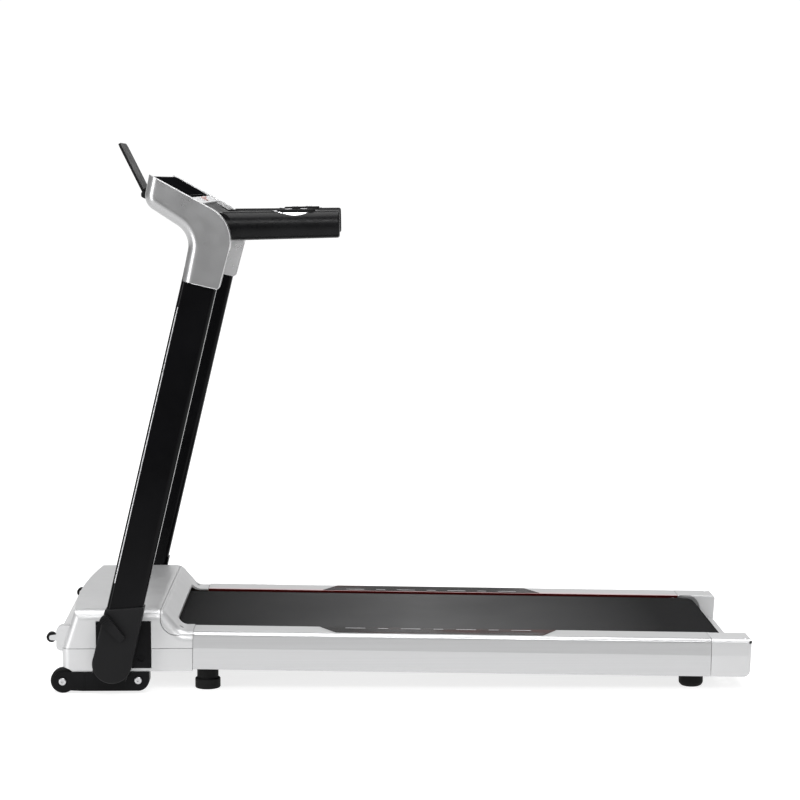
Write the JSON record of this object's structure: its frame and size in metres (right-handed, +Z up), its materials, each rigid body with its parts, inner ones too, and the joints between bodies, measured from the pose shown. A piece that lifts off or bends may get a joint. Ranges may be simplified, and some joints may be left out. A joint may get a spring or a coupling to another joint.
{
  "type": "folding treadmill",
  "caption": "Folding home treadmill with a motor hood, running belt between side rails, leaning mast, console, tilting handlebar and tablet holder.",
  "frame": {"origin": "on the floor, under the middle of the bounding box", "axes": "+X along the deck towards the rear (the user faces -X), +Y to the right side of a person who faces the rear of the hood from the belt, +Z up"},
  "size_m": [1.41, 0.681, 1.0941],
  "materials": {
    "belt_fabric": "woven running surface",
    "black_frame": "satin powder coat",
    "black_gloss_tube": "gloss powder coat",
    "black_plastic": "fine texture",
    "black_rubber": "matte",
    "board_green": "circuit board",
    "chrome_plate": "polished",
    "deck_wood": "sealed board",
    "display_glass": "gloss",
    "grip_foam": "soft matte",
    "key_grey": "satin",
    "red_plastic": "gloss",
    "silver_aluminium": "anodised, satin",
    "silver_plastic": "metallic silver moulding, satin",
    "steel": "plain",
    "strip_grip": "anti-slip, pinstriped"
  },
  "bodies": {
    "deck": {"side_rail_right": "silver_aluminium", "side_rail_left": "silver_aluminium", "grip_strips": "strip_grip", "frame_tubes": "black_frame", "deck_board": "deck_wood", "deck_cushions": "black_rubber", "running_belt": "belt_fabric", "roller_shafts": "steel", "rear_cover": "silver_plastic", "motor_case": "black_frame", "drive_belt": "black_rubber", "motor_mount": "black_frame", "motor_controller": "silver_aluminium", "hood_upper": "silver_plastic", "hood_lower": "silver_plastic", "belt_bezel": "silver_plastic", "hood_screws": "black_frame", "power_inlet": "black_plastic", "pivot_plates": "black_frame", "pivot_bolts": "steel", "wheel_brackets": "black_frame", "wheel_bolts": "steel", "storage_roller_forks": "silver_plastic", "front_feet": "black_rubber", "rear_feet": "black_rubber"},
    "front_roller": {"front_roller": "steel"},
    "rear_roller": {"rear_roller": "steel"},
    "motor_rotor": {"motor_rotor": "steel"},
    "transport_wheel_right": {"transport_wheel_right": "black_rubber"},
    "transport_wheel_left": {"transport_wheel_left": "black_rubber"},
    "storage_roller_right": {"storage_roller_right": "black_rubber"},
    "storage_roller_left": {"storage_roller_left": "black_rubber"},
    "power_rocker": {"power_rocker": "red_plastic"},
    "breaker_button": {"breaker_button": "black_plastic"},
    "mast": {"upright_right": "black_gloss_tube", "upright_left": "black_gloss_tube", "base_cover_right": "black_plastic", "base_cover_left": "black_plastic", "console_arm_right": "silver_plastic", "console_arm_left": "silver_plastic", "console_shell": "black_plastic", "display_panel": "display_glass", "key_strip": "silver_plastic", "console_electronics": "board_green", "cross_tube": "steel"},
    "lock_lever_right": {"lock_lever_right": "black_plastic"},
    "lock_lever_left": {"lock_lever_left": "black_plastic"},
    "console_key_start": {"console_key_start": "key_grey"},
    "console_key_stop": {"console_key_stop": "key_grey"},
    "safety_key": {"safety_key": "red_plastic"},
    "tablet_holder": {"tablet_holder": "black_plastic"},
    "handlebar": {"handle_frame": "steel", "grip_right": "grip_foam", "grip_left": "grip_foam", "pulse_plates": "chrome_plate", "button_pods": "black_plastic"},
    "grip_button_right_rear": {"grip_button_right_rear": "key_grey"},
    "grip_button_right_front": {"grip_button_right_front": "key_grey"},
    "grip_button_left_rear": {"grip_button_left_rear": "key_grey"},
    "grip_button_left_front": {"grip_button_left_front": "key_grey"}
  },
  "joints": [
    {"name": "mast_fold", "type": "hinge", "parent": "deck", "child": "mast", "pos_m": [-0.569, 0, 0.0675], "axis": [0, 1, 0], "range_deg": [0, 58]},
    {"name": "handlebar_tilt", "type": "hinge", "parent": "mast", "child": "handlebar", "pos_m": [-0.356, 0, 0.9275], "axis": [0, -1, 0], "range_deg": [0, 68.7]},
    {"name": "tablet_holder_fold", "type": "hinge", "parent": "mast", "child": "tablet_holder", "pos_m": [-0.518, 0, 0.99], "axis": [0, 1, 0], "range_deg": [-150, 0]},
    {"name": "lock_lever_right_turn", "type": "hinge", "parent": "mast", "child": "lock_lever_right", "pos_m": [-0.576, 0, 0.152], "axis": [0, 1, 0], "range_deg": [-100, 0]},
    {"name": "lock_lever_left_turn", "type": "hinge", "parent": "mast", "child": "lock_lever_left", "pos_m": [-0.576, 0, 0.152], "axis": [0, 1, 0], "range_deg": [-100, 0]},
    {"name": "motor_spin", "type": "hinge", "parent": "deck", "child": "motor_rotor", "pos_m": [-0.612, 0, 0.112], "axis": [0, 1, 0], "continuous": true},
    {"name": "front_roller_spin", "type": "hinge", "parent": "deck", "child": "front_roller", "pos_m": [-0.50555, 0, 0.09503], "axis": [0, 1, 0], "continuous": true},
    {"name": "rear_roller_spin", "type": "hinge", "parent": "deck", "child": "rear_roller", "pos_m": [0.63926, 0, 0.07405], "axis": [0, 1, 0], "continuous": true},
    {"name": "transport_wheel_right_spin", "type": "hinge", "parent": "deck", "child": "transport_wheel_right", "pos_m": [-0.671, 0, 0.025], "axis": [0, 1, 0], "continuous": true},
    {"name": "transport_wheel_left_spin", "type": "hinge", "parent": "deck", "child": "transport_wheel_left", "pos_m": [-0.671, 0, 0.025], "axis": [0, 1, 0], "continuous": true},
    {"name": "storage_roller_right_spin", "type": "hinge", "parent": "deck", "child": "storage_roller_right", "pos_m": [-0.695, 0, 0.1095], "axis": [0, 1, 0], "continuous": true},
    {"name": "storage_roller_left_spin", "type": "hinge", "parent": "deck", "child": "storage_roller_left", "pos_m": [-0.695, 0, 0.1095], "axis": [0, 1, 0], "continuous": true},
    {"name": "power_rocker_tilt", "type": "hinge", "parent": "deck", "child": "power_rocker", "pos_m": [-0.681, 0.157, 0.067], "axis": [0, 1, 0], "range_deg": [-7, 7]},
    {"name": "breaker_button_press", "type": "slide", "parent": "deck", "child": "breaker_button", "axis": [1, 0, 0], "range_m": [0, 0.003], "stiffness_N_per_m": 300, "springref_m": -0.002},
    {"name": "console_key_start_press", "type": "slide", "parent": "mast", "child": "console_key_start", "axis": [-0.4903, 0, -0.8716], "range_m": [0, 0.0008], "stiffness_N_per_m": 300, "springref_m": -0.001},
    {"name": "console_key_stop_press", "type": "slide", "parent": "mast", "child": "console_key_stop", "axis": [-0.4903, 0, -0.8716], "range_m": [0, 0.0008], "stiffness_N_per_m": 300, "springref_m": -0.001},
    {"name": "safety_key_pull", "type": "slide", "parent": "mast", "child": "safety_key", "axis": [0.4903, 0, 0.8716], "range_m": [0, 0.03]},
    {"name": "grip_button_right_rear_press", "type": "slide", "parent": "handlebar", "child": "grip_button_right_rear", "axis": [0.0175, 0, -0.9998], "range_m": [0, 0.0009], "stiffness_N_per_m": 300, "springref_m": -0.001},
    {"name": "grip_button_right_front_press", "type": "slide", "parent": "handlebar", "child": "grip_button_right_front", "axis": [0.0175, 0, -0.9998], "range_m": [0, 0.0009], "stiffness_N_per_m": 300, "springref_m": -0.001},
    {"name": "grip_button_left_rear_press", "type": "slide", "parent": "handlebar", "child": "grip_button_left_rear", "axis": [0.0175, 0, -0.9998], "range_m": [0, 0.0009], "stiffness_N_per_m": 300, "springref_m": -0.001},
    {"name": "grip_button_left_front_press", "type": "slide", "parent": "handlebar", "child": "grip_button_left_front", "axis": [0.0175, 0, -0.9998], "range_m": [0, 0.0009], "stiffness_N_per_m": 300, "springref_m": -0.001}
  ],
  "couplings": [
    {"joint": "front_roller_spin", "follows": "motor_spin", "ratio": 0.4228},
    {"joint": "rear_roller_spin", "follows": "motor_spin", "ratio": 0.4228}
  ]
}
